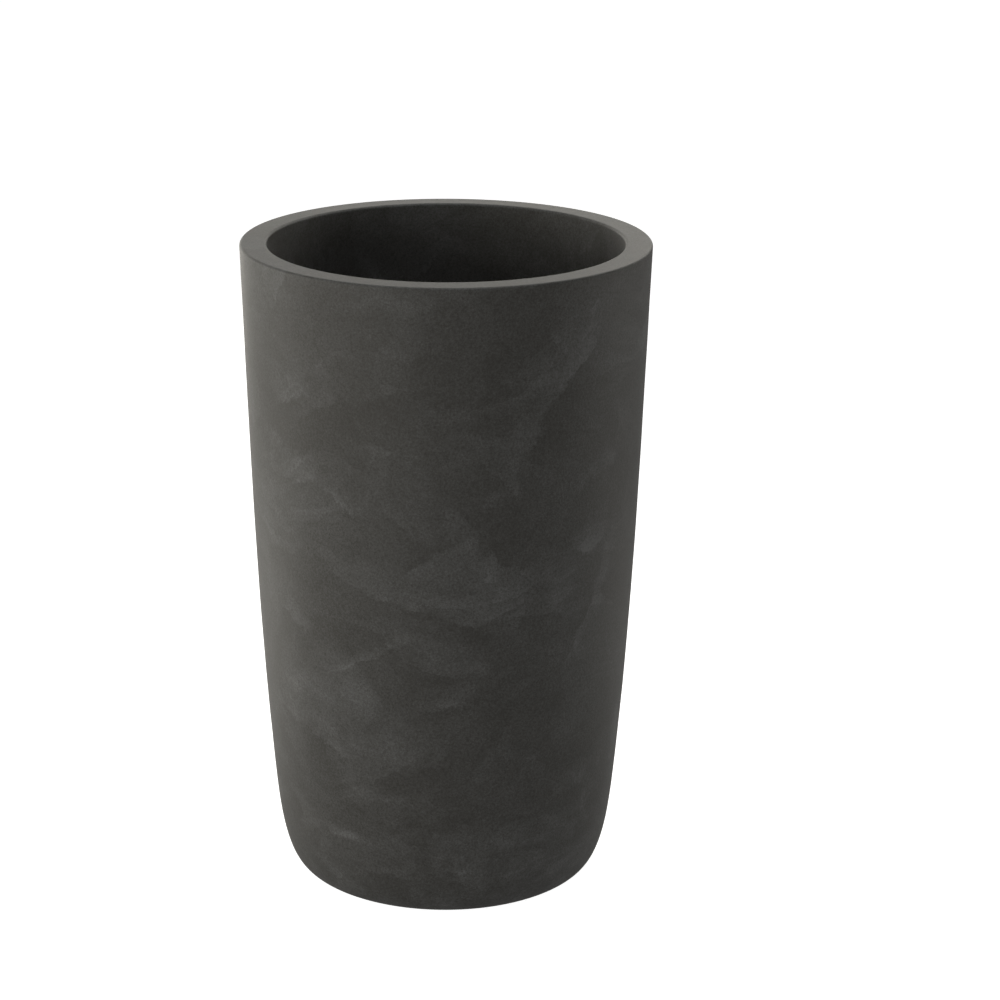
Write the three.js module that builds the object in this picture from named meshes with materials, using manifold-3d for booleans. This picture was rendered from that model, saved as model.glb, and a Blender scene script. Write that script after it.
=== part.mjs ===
// A tall round fibreglass planter. An outer shell carries the flat rim and folds down inside it, where a
// liner is bonded to the fold. Between the two skins are a stiffening ring and a base board, and a plugged
// drain runs through the floor. The planter stands on four rubber feet.
// Millimetres, +Z up, with the origin on the ground under the centre.
import * as THREE from "three";
import { mergeVertices } from "three/addons/utils/BufferGeometryUtils.js";
import Module from "manifold-3d";

const wasm = await Module();
wasm.setup();

// Moulded body: the shape seen from outside
const RIM_RADIUS = 190;
const RIM_WIDTH = 25; // flat rim, which is also the distance from outside wall to inside wall
const BODY_HEIGHT = 612; // underside of the shell to the top of the rim
const WALL_LEAN = 19.6; // how far the straight wall leans in over its height
const BELLY_DEPTH = 16.5; // how much further the bowed wall comes in at the bottom
const BELLY_POWER = 3.4; // higher keeps the top straighter
const HEEL_REACH = 25.2; // how far the rounded bottom corner cuts in
const HEEL_HEIGHT = 96; // how far up the wall that rounding begins
const HEEL_POWER = 3; // 2 is an ellipse, higher is squarer
const ARRIS_RADIUS = 2.5; // rounded edges of the rim

// Laminates
const SHELL_WALL = 5;
const LINER_WALL = 4;
const RETURN_DEPTH = 80; // how far the rim folds down inside
const LAP_HEIGHT = 25; // how far the liner reaches up behind the fold
const LINER_HEEL_REACH = 24;
const LINER_HEEL_HEIGHT = 60;

// Stiffeners between the skins
const CORE_HEIGHT = 18;
const BOARD_THICKNESS = 12;
const BOARD_MARGIN = 8; // board edge to the end of the flat base

// Drain through the floor
const BORE_RADIUS = 10;
const BUSHING_WALL = 3.5;
const FLANGE_RADIUS = 24;
const FLANGE_THICKNESS = 3;
const SUMP_CLEARANCE = 10; // round the flange, for a finger under the plug
const GASKET_THICKNESS = 2;
const NUT_THICKNESS = 3.5;
const NUT_SIDES = 6;
const NUT_WALL = 5.5; // least wall of the nut, at the middle of a flat
const BORE_BREAK = 1; // chamfer at the mouth of the bore

// Plug
const PLUG_HEAD_RADIUS = 16;
const PLUG_HEAD_THICKNESS = 3;
const PLUG_STEM_LENGTH = 10;
const PLUG_RIB_COUNT = 2;
const PLUG_RIB_DEPTH = 0.9;
const GRIP_LENGTH = 22;
const GRIP_WIDTH = 5;
const GRIP_HEIGHT = 2.4;

// Feet and their screws
const FOOT_COUNT = 4;
const FOOT_HEIGHT = 6; // ground to the underside of the shell
const FOOT_RADIUS = 13;
const FOOT_TAPER = 1.5; // narrower at the ground
const FOOT_SETBACK = 34; // foot centre to the end of the flat base
const FOOT_WEB = 1.8; // rubber under the screw head
const SCREW_RADIUS = 2;
const SCREW_HEAD_RADIUS = 4;
const SCREW_HEAD_HEIGHT = 2;
const SCREW_HEAD_EDGE = 0.6;
const SCREW_LENGTH = 16;
const SCREW_POINT = 4; // length of the tapered tip
const SOCKET_SIDES = 6;
const SOCKET_RADIUS = 1.5;
const SOCKET_DEPTH = 1.2;

// Chamfers on the edges of the drain parts and the feet
const EDGE_BREAK = 0.8;

// Clearances
const FIT_GAP = 0.3; // between pieces that bear on each other
const HEAD_CLEARANCE = 1; // round a screw head in its foot
const PILOT_SPARE = 1.5; // pilot hole past the screw's tip

// Fineness
const ROUND_SIDES = 64;
const SMALL_SIDES = 24;
const TINY_SIDES = 12;
const HEEL_STEPS = 8; // on the outside, where the heel shows
const HIDDEN_HEEL_STEPS = 5;
const WALL_STEPS = 5;
const ARRIS_STEPS = 3;
const GRIP_STEPS = 8;
const MERGE_DISTANCE = 1e-4;

// Heights that follow
const RIM_TOP = FOOT_HEIGHT + BODY_HEIGHT;
const WALL_TOP = RIM_TOP - ARRIS_RADIUS;
const WALL_SPAN = WALL_TOP - FOOT_HEIGHT;
const RETURN_BOTTOM = RIM_TOP - RETURN_DEPTH;
const SHELL_INSIDE = FOOT_HEIGHT + SHELL_WALL;
const BOARD_BOTTOM = SHELL_INSIDE + FIT_GAP;
const BOARD_TOP = BOARD_BOTTOM + BOARD_THICKNESS;
const FLOOR_UNDERSIDE = BOARD_TOP + FIT_GAP;
const FLOOR_TOP = FLOOR_UNDERSIDE + LINER_WALL;
const SUMP_UNDERSIDE = SHELL_INSIDE + FIT_GAP;
const SUMP_TOP = SUMP_UNDERSIDE + LINER_WALL;
const GASKET_BOTTOM = SUMP_TOP + FIT_GAP;
const FLANGE_BOTTOM = GASKET_BOTTOM + GASKET_THICKNESS + FIT_GAP;
const FLANGE_TOP = FLANGE_BOTTOM + FLANGE_THICKNESS;
const PLUG_SEAT = FLANGE_TOP + FIT_GAP;
const PLUG_HEAD_TOP = PLUG_SEAT + PLUG_HEAD_THICKNESS;
const NUT_TOP = FOOT_HEIGHT - FIT_GAP;
const NUT_BOTTOM = NUT_TOP - NUT_THICKNESS;
const FOOT_TOP = FOOT_HEIGHT - FIT_GAP;
const FOOT_WEB_BOTTOM = FOOT_TOP - FOOT_WEB;
const SCREW_SEAT = FOOT_WEB_BOTTOM - FIT_GAP;
const SCREW_TIP = SCREW_SEAT + SCREW_LENGTH;

// Radii that follow
const FLAT_RADIUS = RIM_RADIUS - WALL_LEAN - BELLY_DEPTH - HEEL_REACH; // flat underside of the shell
const BUSHING_RADIUS = BORE_RADIUS + BUSHING_WALL;
const DRAIN_HOLE_RADIUS = BUSHING_RADIUS + FIT_GAP;
const SUMP_RADIUS = FLANGE_RADIUS + SUMP_CLEARANCE;
const SUMP_OUTSIDE = SUMP_RADIUS + LINER_WALL;
const BOARD_RADIUS = FLAT_RADIUS - BOARD_MARGIN;
const FOOT_CIRCLE = FLAT_RADIUS - FOOT_SETBACK;
const SCREW_HOLE_RADIUS = SCREW_RADIUS + FIT_GAP;

const fibreglass = finish(0x3b3935, 0.78, 0);
const linerFibreglass = finish(0x35332f, 0.85, 0);
const plywood = finish(0xb08a5c, 0.65, 0);
const rubber = finish(0x1c1c1c, 0.85, 0);
const polymer = finish(0x232323, 0.6, 0);
const stainless = finish(0xb9bab8, 0.35, 0.9);

function finish(color, roughness, metalness) {
  return new THREE.MeshStandardMaterial({ color, roughness, metalness });
}

function piece(name, geometry, material) {
  const mesh = new THREE.Mesh(geometry, material);
  mesh.name = name;
  return mesh;
}

function point(radius, z) {
  return new THREE.Vector2(radius, z);
}

// Turns a closed profile of (radius, height) points about the Z axis.
function turned(profile, sides) {
  const geometry = new THREE.LatheGeometry(profile, sides);
  return geometry.rotateX(Math.PI / 2);
}

// Closes a ring's profile on itself, so that it can be turned.
function turnedRing(profile, sides) {
  return turned([...profile, profile[0].clone()], sides);
}

function cylinder(radius, bottom, top, sides) {
  const geometry = new THREE.CylinderGeometry(radius, radius, top - bottom, sides);
  return geometry.rotateX(Math.PI / 2).translate(0, 0, (bottom + top) / 2);
}

// Geometry as a solid that can be joined and cut: its corners are shared and nothing else is kept.
function solidOf(geometry) {
  const bare = geometry.clone();
  bare.deleteAttribute("normal");
  bare.deleteAttribute("uv");
  const merged = mergeVertices(bare, MERGE_DISTANCE);
  const vertProperties = merged.attributes.position.array;
  const triVerts = new Uint32Array(merged.index.array);
  return new wasm.Manifold(new wasm.Mesh({ numProp: 3, vertProperties, triVerts }));
}

function geometryOf(solid) {
  const { vertProperties, triVerts } = solid.getMesh();
  const geometry = new THREE.BufferGeometry();
  geometry.setAttribute("position", new THREE.BufferAttribute(vertProperties, 3));
  geometry.setIndex(new THREE.BufferAttribute(triVerts, 1));
  geometry.computeVertexNormals();
  return geometry;
}

function cut(geometry, tools) {
  const whole = tools.reduce((left, tool) => left.subtract(solidOf(tool)), solidOf(geometry));
  return geometryOf(whole);
}

function join(geometry, added) {
  return geometryOf(solidOf(geometry).add(solidOf(added)));
}

// Outside radius of the wall at a height, before its heel is rounded off.
function wallRadius(z) {
  const down = Math.max(0, (WALL_TOP - z) / WALL_SPAN);
  return RIM_RADIUS - WALL_LEAN * down - BELLY_DEPTH * down ** BELLY_POWER;
}

// The rounded corner between a flat floor and a wall, from the floor up.
function heelPoints(floor, inset, heel) {
  const points = [];
  for (let i = 0; i <= heel.steps; i++) {
    const turn = (Math.PI / 2) * (1 - i / heel.steps);
    const z = floor + heel.height * (1 - Math.sin(turn) ** (2 / HEEL_POWER));
    const set = heel.reach * (1 - Math.cos(turn) ** (2 / HEEL_POWER));
    points.push(point(wallRadius(z) - inset - set, z));
  }
  return points;
}

// The wall above a height, up to another and without its first point.
function wallPoints(bottom, top, inset) {
  const points = [];
  for (let i = 1; i <= WALL_STEPS; i++) {
    const z = bottom + ((top - bottom) * i) / WALL_STEPS;
    points.push(point(wallRadius(z) - inset, z));
  }
  return points;
}

// A face from the edge of its floor up to a height, a given distance inside the outside wall.
function facePoints(floor, top, inset, heel) {
  return [...heelPoints(floor, inset, heel), ...wallPoints(floor + heel.height, top, inset)];
}

function arcPoints(radius, z, size, from, to, steps) {
  const points = [];
  for (let i = 0; i <= steps; i++) {
    const angle = from + ((to - from) * i) / steps;
    points.push(point(radius + size * Math.cos(angle), z + size * Math.sin(angle)));
  }
  return points;
}

// The flat rim between its two rounded edges, from outside to inside.
function rimPoints() {
  const outer = RIM_RADIUS - ARRIS_RADIUS;
  const inner = RIM_RADIUS - RIM_WIDTH + ARRIS_RADIUS;
  return [
    ...arcPoints(outer, WALL_TOP, ARRIS_RADIUS, 0, Math.PI / 2, ARRIS_STEPS),
    ...arcPoints(inner, WALL_TOP, ARRIS_RADIUS, Math.PI / 2, Math.PI, ARRIS_STEPS),
  ];
}

// Where the four feet stand, as [x, y], between the X and Y axes.
function footPlaces() {
  return Array.from({ length: FOOT_COUNT }, (_, i) => {
    const angle = ((i + 0.5) * 2 * Math.PI) / FOOT_COUNT;
    return [FOOT_CIRCLE * Math.cos(angle), FOOT_CIRCLE * Math.sin(angle)];
  });
}

// The holes that the feet's screws pass through, between two heights.
function screwHoles(bottom, top) {
  const hole = cylinder(SCREW_HOLE_RADIUS, bottom, top, TINY_SIDES);
  return footPlaces().map(([x, y]) => hole.clone().translate(x, y, 0));
}

function outerShell() {
  const underRim = RIM_TOP - SHELL_WALL;
  const foldBack = RIM_WIDTH - SHELL_WALL;
  const heel = { reach: HEEL_REACH, height: HEEL_HEIGHT, steps: HEEL_STEPS };
  const insideHeel = { reach: HEEL_REACH, height: HEEL_HEIGHT - SHELL_WALL, steps: HIDDEN_HEEL_STEPS };
  const outside = facePoints(FOOT_HEIGHT, WALL_TOP, 0, heel);
  const inside = facePoints(SHELL_INSIDE, underRim, SHELL_WALL, insideHeel);
  const profile = [
    point(DRAIN_HOLE_RADIUS, FOOT_HEIGHT),
    ...outside,
    ...rimPoints().slice(1),
    point(wallRadius(RETURN_BOTTOM) - RIM_WIDTH, RETURN_BOTTOM),
    point(wallRadius(RETURN_BOTTOM) - foldBack, RETURN_BOTTOM),
    point(wallRadius(underRim) - foldBack, underRim),
    ...inside.reverse(),
    point(DRAIN_HOLE_RADIUS, SHELL_INSIDE),
  ];
  const holes = screwHoles(FOOT_HEIGHT - SHELL_WALL, SHELL_INSIDE + SHELL_WALL);
  return cut(turnedRing(profile, ROUND_SIDES), holes);
}

// The liner stops just under the fold, steps out round it and laps up behind it.
function innerLiner() {
  const stepTop = RETURN_BOTTOM - FIT_GAP;
  const stepBottom = stepTop - LINER_WALL;
  const lapTop = RETURN_BOTTOM + LAP_HEIGHT;
  const lapInset = RIM_WIDTH - SHELL_WALL - FIT_GAP;
  const heel = { reach: LINER_HEEL_REACH, height: LINER_HEEL_HEIGHT, steps: HIDDEN_HEEL_STEPS };
  const backHeel = { ...heel, height: LINER_HEEL_HEIGHT + LINER_WALL };
  const front = facePoints(FLOOR_TOP, stepTop, RIM_WIDTH, heel);
  const back = facePoints(FLOOR_UNDERSIDE, stepBottom, RIM_WIDTH - LINER_WALL, backHeel);
  const profile = [
    point(DRAIN_HOLE_RADIUS, SUMP_UNDERSIDE),
    point(SUMP_OUTSIDE, SUMP_UNDERSIDE),
    point(SUMP_OUTSIDE, FLOOR_UNDERSIDE),
    ...back,
    point(wallRadius(stepBottom) - lapInset + LINER_WALL, stepBottom),
    point(wallRadius(lapTop) - lapInset + LINER_WALL, lapTop),
    point(wallRadius(lapTop) - lapInset, lapTop),
    point(wallRadius(stepTop) - lapInset, stepTop),
    ...front.reverse(),
    point(SUMP_RADIUS, FLOOR_TOP),
    point(SUMP_RADIUS, SUMP_TOP),
    point(DRAIN_HOLE_RADIUS, SUMP_TOP),
  ];
  return turnedRing(profile, ROUND_SIDES);
}

function rimCore() {
  const top = RIM_TOP - SHELL_WALL - FIT_GAP;
  const bottom = top - CORE_HEIGHT;
  const outer = SHELL_WALL + FIT_GAP;
  const inner = RIM_WIDTH - SHELL_WALL - FIT_GAP;
  const profile = [
    point(wallRadius(bottom) - inner, bottom),
    point(wallRadius(bottom) - outer, bottom),
    point(wallRadius(top) - outer, top),
    point(wallRadius(top) - inner, top),
  ];
  return turnedRing(profile, ROUND_SIDES);
}

function baseBoard() {
  const hole = SUMP_OUTSIDE + FIT_GAP;
  const profile = [
    point(hole, BOARD_BOTTOM),
    point(BOARD_RADIUS, BOARD_BOTTOM),
    point(BOARD_RADIUS, BOARD_TOP),
    point(hole, BOARD_TOP),
  ];
  const pilots = screwHoles(SHELL_INSIDE, SCREW_TIP + PILOT_SPARE);
  return cut(turnedRing(profile, ROUND_SIDES), pilots);
}

function drainBushing() {
  const profile = [
    point(BORE_RADIUS, NUT_BOTTOM),
    point(BUSHING_RADIUS, NUT_BOTTOM),
    point(BUSHING_RADIUS, FLANGE_BOTTOM),
    point(FLANGE_RADIUS, FLANGE_BOTTOM),
    point(FLANGE_RADIUS, FLANGE_TOP - EDGE_BREAK),
    point(FLANGE_RADIUS - EDGE_BREAK, FLANGE_TOP),
    point(BORE_RADIUS + BORE_BREAK, FLANGE_TOP),
    point(BORE_RADIUS, FLANGE_TOP - BORE_BREAK),
  ];
  return turnedRing(profile, SMALL_SIDES);
}

function drainGasket() {
  const profile = [
    point(DRAIN_HOLE_RADIUS, GASKET_BOTTOM),
    point(FLANGE_RADIUS, GASKET_BOTTOM),
    point(FLANGE_RADIUS, GASKET_BOTTOM + GASKET_THICKNESS),
    point(DRAIN_HOLE_RADIUS, GASKET_BOTTOM + GASKET_THICKNESS),
  ];
  return turnedRing(profile, SMALL_SIDES);
}

function drainNut() {
  const corner = (DRAIN_HOLE_RADIUS + NUT_WALL) / Math.cos(Math.PI / NUT_SIDES);
  const shape = new THREE.Shape();
  shape.moveTo(corner, 0);
  for (let i = 1; i < NUT_SIDES; i++) {
    const angle = (2 * Math.PI * i) / NUT_SIDES;
    shape.lineTo(corner * Math.cos(angle), corner * Math.sin(angle));
  }
  shape.closePath();
  shape.holes.push(new THREE.Path().absarc(0, 0, DRAIN_HOLE_RADIUS, 0, 2 * Math.PI, true));
  const options = { depth: NUT_THICKNESS, bevelEnabled: false, curveSegments: SMALL_SIDES / 2 };
  return new THREE.ExtrudeGeometry(shape, options).translate(0, 0, NUT_BOTTOM);
}

// A rubber plug that hangs by its head in the bushing, with sealing ribs round its stem.
function drainPlug() {
  const ribRadius = BORE_RADIUS - FIT_GAP;
  const stemRadius = ribRadius - PLUG_RIB_DEPTH;
  const stemBottom = PLUG_SEAT - PLUG_STEM_LENGTH;
  const pitch = PLUG_STEM_LENGTH / (PLUG_RIB_COUNT + 1);
  const profile = [point(0, stemBottom), point(stemRadius, stemBottom)];
  for (let i = 1; i <= PLUG_RIB_COUNT; i++) {
    const z = stemBottom + i * pitch;
    profile.push(point(stemRadius, z - PLUG_RIB_DEPTH));
    profile.push(point(ribRadius, z));
    profile.push(point(stemRadius, z + PLUG_RIB_DEPTH));
  }
  profile.push(
    point(stemRadius, PLUG_SEAT),
    point(PLUG_HEAD_RADIUS, PLUG_SEAT),
    point(PLUG_HEAD_RADIUS, PLUG_HEAD_TOP - EDGE_BREAK),
    point(PLUG_HEAD_RADIUS - EDGE_BREAK, PLUG_HEAD_TOP),
    point(0, PLUG_HEAD_TOP),
  );
  return join(turned(profile, SMALL_SIDES), plugGrip());
}

// The bar across the plug's head, rooted in it.
function plugGrip() {
  const round = GRIP_WIDTH / 2;
  const half = GRIP_LENGTH / 2 - round;
  const root = PLUG_HEAD_THICKNESS / 2;
  const shape = new THREE.Shape();
  shape.absarc(half, 0, round, -Math.PI / 2, Math.PI / 2);
  shape.absarc(-half, 0, round, Math.PI / 2, (3 * Math.PI) / 2);
  const options = { depth: root + GRIP_HEIGHT, bevelEnabled: false, curveSegments: GRIP_STEPS };
  return new THREE.ExtrudeGeometry(shape, options).translate(0, 0, PLUG_HEAD_TOP - root);
}

// A rubber foot about its own axis, recessed from below for its screw.
function foot() {
  const recess = SCREW_HEAD_RADIUS + HEAD_CLEARANCE;
  const ground = FOOT_RADIUS - FOOT_TAPER;
  const profile = [
    point(recess, 0),
    point(ground - EDGE_BREAK, 0),
    point(ground, EDGE_BREAK),
    point(FOOT_RADIUS, FOOT_TOP),
    point(SCREW_HOLE_RADIUS, FOOT_TOP),
    point(SCREW_HOLE_RADIUS, FOOT_WEB_BOTTOM),
    point(recess, FOOT_WEB_BOTTOM),
  ];
  return turnedRing(profile, SMALL_SIDES);
}

// A screw about its own axis, driven up through the foot and the shell into the board.
function footScrew() {
  const headBottom = SCREW_SEAT - SCREW_HEAD_HEIGHT;
  const profile = [
    point(0, headBottom),
    point(SCREW_HEAD_RADIUS - SCREW_HEAD_EDGE, headBottom),
    point(SCREW_HEAD_RADIUS, headBottom + SCREW_HEAD_EDGE),
    point(SCREW_HEAD_RADIUS, SCREW_SEAT),
    point(SCREW_RADIUS, SCREW_SEAT),
    point(SCREW_RADIUS, SCREW_TIP - SCREW_POINT),
    point(0, SCREW_TIP),
  ];
  const socketTop = headBottom + SOCKET_DEPTH;
  const socket = cylinder(SOCKET_RADIUS, headBottom - SOCKET_DEPTH, socketTop, SOCKET_SIDES);
  return cut(turned(profile, TINY_SIDES), [socket]);
}

function at(mesh, x, y) {
  mesh.position.set(x, y, 0);
  return mesh;
}

const planter = new THREE.Group();
planter.add(piece("outer_shell", outerShell(), fibreglass));
planter.add(piece("inner_liner", innerLiner(), linerFibreglass));
planter.add(piece("rim_core", rimCore(), plywood));
planter.add(piece("base_board", baseBoard(), plywood));
planter.add(piece("drain_bushing", drainBushing(), polymer));
planter.add(piece("drain_gasket", drainGasket(), rubber));
planter.add(piece("drain_nut", drainNut(), polymer));
planter.add(piece("drain_plug", drainPlug(), rubber));
footPlaces().forEach(([x, y], i) => {
  planter.add(at(piece(`foot_${i + 1}`, foot(), rubber), x, y));
  planter.add(at(piece(`foot_screw_${i + 1}`, footScrew(), stainless), x, y));
});

export default planter;
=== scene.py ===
"""The looks of a tall round fibreglass planter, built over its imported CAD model.

Metres, +Z up, with the origin on the ground under the planter's centre. The camera stands on the -Y side.
"""

import logging
import math
from collections.abc import Mapping, Sequence
from dataclasses import dataclass, field
from enum import Enum

import bmesh
import bpy
from mathutils import Matrix, Vector, noise


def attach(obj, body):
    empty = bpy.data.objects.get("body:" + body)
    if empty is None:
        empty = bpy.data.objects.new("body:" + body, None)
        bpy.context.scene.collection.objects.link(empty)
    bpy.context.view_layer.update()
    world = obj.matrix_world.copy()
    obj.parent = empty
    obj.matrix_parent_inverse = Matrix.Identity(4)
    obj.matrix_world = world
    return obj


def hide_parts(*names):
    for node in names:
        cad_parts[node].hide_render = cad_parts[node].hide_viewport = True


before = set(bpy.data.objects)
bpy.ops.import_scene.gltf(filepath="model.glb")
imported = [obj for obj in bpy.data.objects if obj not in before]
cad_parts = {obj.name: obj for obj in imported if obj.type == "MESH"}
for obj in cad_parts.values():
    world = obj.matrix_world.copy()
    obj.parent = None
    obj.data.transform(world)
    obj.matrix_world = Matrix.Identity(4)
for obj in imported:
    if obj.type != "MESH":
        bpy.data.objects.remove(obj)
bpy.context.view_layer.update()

LOG = logging.getLogger("planter")
MM = 0.001
TOUCHING = 1e-6  # metres: points closer than this are one
CREASE = 40.0  # degrees between two faces, from which their edge stays sharp
Point = tuple[float, float]
Colour = tuple[float, float, float]


class Slot(Enum):
    """The record's material slots."""

    SHELL = "charcoal_fibreglass"
    LINER = "liner_fibreglass"
    WOOD = "plywood"
    POLYMER = "black_polymer"
    RUBBER = "black_rubber"
    STEEL = "stainless_steel"


class Body(Enum):
    """The two bodies of the CAD model."""

    PLANTER = "planter"
    PLUG = "plug"


# ---------------------------------------------------------------------------------------------------------
# Shader maths


class Wire:
    """A number in a material's tree. Python's operators on it add Math nodes."""

    def __init__(self, paint: "Paint", socket: bpy.types.NodeSocket) -> None:
        """Keeps the tree that the number is in, and the output that gives it."""
        self.paint = paint
        self.socket = socket

    def made(self, operation: str, *values: "Wire | float") -> "Wire":
        """Adds one Math node.

        Args:
            operation: The Math node's operation.
            values: Its inputs, in order.

        Returns:
            The node's result.
        """
        node = self.paint.node("ShaderNodeMath", {"operation": operation}, dict(enumerate(values)))
        return Wire(self.paint, node.outputs[0])

    def __add__(self, other: "Wire | float") -> "Wire":
        """Sum."""
        return self.made("ADD", self, other)

    __radd__ = __add__

    def __sub__(self, other: "Wire | float") -> "Wire":
        """Difference."""
        return self.made("SUBTRACT", self, other)

    def __rsub__(self, other: "Wire | float") -> "Wire":
        """Difference, with this wire taken away."""
        return self.made("SUBTRACT", other, self)

    def __mul__(self, other: "Wire | float") -> "Wire":
        """Product."""
        return self.made("MULTIPLY", self, other)

    __rmul__ = __mul__

    def __truediv__(self, other: "Wire | float") -> "Wire":
        """Quotient."""
        return self.made("DIVIDE", self, other)

    def fract(self) -> "Wire":
        """What is left after the last whole number."""
        return self.made("FRACT", self)

    def size(self) -> "Wire":
        """The number without its sign."""
        return self.made("ABSOLUTE", self)

    def least(self, other: "Wire | float") -> "Wire":
        """The lower of two."""
        return self.made("MINIMUM", self, other)

    def stepped(self, low: float, high: float) -> "Wire":
        """A smooth rise from 0 at low to 1 at high, or a fall where low is the higher.

        Args:
            low: Where the result is 0.
            high: Where it is 1.

        Returns:
            The risen number, from 0 to 1.
        """
        values = {"Value": self, "From Min": low, "From Max": high}
        node = self.paint.node("ShaderNodeMapRange", {"interpolation_type": "SMOOTHSTEP"}, values)
        return Wire(self.paint, node.outputs[0])


class Paint:
    """One procedural material while it is put together."""

    def __init__(self, name: str) -> None:
        """Starts an empty tree with a Principled shader on its output."""
        self.material = bpy.data.materials.new(name)
        self.material.use_nodes = True
        self.tree = self.material.node_tree
        self.tree.nodes.clear()
        self.shader = self.node("ShaderNodeBsdfPrincipled")
        self.node("ShaderNodeOutputMaterial", inputs={"Surface": self.shader.outputs[0]})
        self.place = self.node("ShaderNodeTexCoord").outputs["Object"]

    def node(
        self,
        kind: str,
        settings: Mapping[str, object] | None = None,
        inputs: Mapping[int | str, object] | None = None,
    ) -> bpy.types.Node:
        """Adds a node, sets it and wires it.

        Args:
            kind: The node's type name.
            settings: Its own properties, which are set first. A ramp's stops are given as "stops".
            inputs: A value, a socket or a wire for each input, by number or name.

        Returns:
            The new node.
        """
        node = self.tree.nodes.new(kind)
        for name, value in (settings or {}).items():
            if name == "stops":
                self.set_stops(node, value)
            else:
                setattr(node, name, value)
        for key, value in (inputs or {}).items():
            value = value.socket if isinstance(value, Wire) else value
            if isinstance(value, bpy.types.NodeSocket):
                self.tree.links.new(value, node.inputs[key])
            else:
                node.inputs[key].default_value = value
        return node

    @staticmethod
    def set_stops(node: bpy.types.Node, stops: Sequence[tuple[float, float]]) -> None:
        """Gives a colour ramp its stops.

        Args:
            node: The ramp.
            stops: (place, grey level), from left to right.
        """
        node.color_ramp.interpolation = "EASE"
        elements = node.color_ramp.elements
        while len(elements) < len(stops):
            elements.new(1.0)
        for element, (place, level) in zip(elements, stops, strict=True):
            element.position = place
            element.color = (level, level, level, 1.0)

    def noise(
        self,
        where: bpy.types.NodeSocket,
        scale: float,
        detail: float = 3.0,
        roughness: float = 0.5,
    ) -> bpy.types.Node:
        """Adds a cloudy noise.

        Args:
            where: The position it is read at.
            scale: How many lumps there are to a metre.
            detail: How many finer layers it has.
            roughness: How strong each finer layer is beside the last.

        Returns:
            The noise node.
        """
        values = {"Vector": where, "Scale": scale, "Detail": detail, "Roughness": roughness}
        return self.node("ShaderNodeTexNoise", inputs=values)

    def cloud(
        self,
        where: bpy.types.NodeSocket,
        scale: float,
        detail: float = 3.0,
        roughness: float = 0.5,
    ) -> Wire:
        """A cloudy noise as a number about 0, from roughly -1 to 1.

        Args:
            where: The position it is read at.
            scale: How many lumps there are to a metre.
            detail: How many finer layers it has.
            roughness: How strong each finer layer is beside the last.

        Returns:
            The number.
        """
        found = self.noise(where, scale, detail, roughness).outputs[0]
        return (Wire(self, found) - 0.5) * 4.0

    def mapped(
        self,
        where: bpy.types.NodeSocket,
        scale: Sequence[float] = (1.0, 1.0, 1.0),
        turn: Sequence[float] = (0.0, 0.0, 0.0),
        shift: Sequence[float] = (0.0, 0.0, 0.0),
    ) -> bpy.types.NodeSocket:
        """A position scaled, then turned, then shifted.

        Args:
            where: The position.
            scale: What each of its parts is multiplied by.
            turn: The angles that it is turned by, about x, y and z.
            shift: What is added to it.

        Returns:
            The new position.
        """
        values = {"Vector": where, "Location": shift, "Rotation": turn, "Scale": scale}
        return self.node("ShaderNodeMapping", inputs=values).outputs[0]

    def stirred(
        self, where: bpy.types.NodeSocket, scale: float, reach: float, detail: float = 2.0
    ) -> bpy.types.NodeSocket:
        """A position pushed about by noise.

        Args:
            where: The position.
            scale: How many lumps of the push there are to a metre.
            reach: How far it pushes, in metres.
            detail: How many finer layers the push has.

        Returns:
            The new position.
        """
        push = self.noise(where, scale, detail).outputs[1]
        centred = self.vector("SUBTRACT", push, (0.5, 0.5, 0.5))
        scaled = self.vector("MULTIPLY", centred, (4 * reach, 4 * reach, 4 * reach))
        return self.vector("ADD", where, scaled)

    def vector(self, operation: str, first: object, second: object) -> bpy.types.NodeSocket:
        """Adds a Vector Math node.

        Args:
            operation: What it does.
            first: Its first vector.
            second: Its second vector.

        Returns:
            Its result.
        """
        return self.node("ShaderNodeVectorMath", {"operation": operation}, {0: first, 1: second}).outputs[0]

    def parts(self, where: bpy.types.NodeSocket) -> tuple[Wire, Wire, Wire]:
        """The x, y and z of a position."""
        node = self.node("ShaderNodeSeparateXYZ", inputs={0: where})
        return Wire(self, node.outputs[0]), Wire(self, node.outputs[1]), Wire(self, node.outputs[2])

    def mixed(self, share: Wire, first: Sequence[float], second: Sequence[float]) -> bpy.types.NodeSocket:
        """A colour between two.

        Args:
            share: 0 for the first colour, 1 for the second.
            first: Linear red, green and blue.
            second: Linear red, green and blue.

        Returns:
            The mixed colour.
        """
        ends = {0: share, 6: (*first, 1.0), 7: (*second, 1.0)}
        node = self.node("ShaderNodeMix", {"data_type": "RGBA", "clamp_factor": True}, ends)
        return node.outputs[2]

    def bumped(self, height: Wire, distance: float, strength: float = 1.0) -> bpy.types.NodeSocket:
        """A normal tilted by a height.

        Args:
            height: The height, where 1 is one distance.
            distance: How high that is, in metres.
            strength: How much of it shows.

        Returns:
            The normal.
        """
        values = {"Height": height, "Distance": distance, "Strength": strength}
        return self.node("ShaderNodeBump", inputs=values).outputs[0]

    def dress(self, values: Mapping[str, object]) -> bpy.types.Material:
        """Sets the shader's sockets.

        Args:
            values: A value, a socket or a wire for each of the shader's inputs, by name.

        Returns:
            The finished material.
        """
        for key, value in values.items():
            value = value.socket if isinstance(value, Wire) else value
            if isinstance(value, bpy.types.NodeSocket):
                self.tree.links.new(value, self.shader.inputs[key])
            else:
                self.shader.inputs[key].default_value = value
        return self.material


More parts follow.
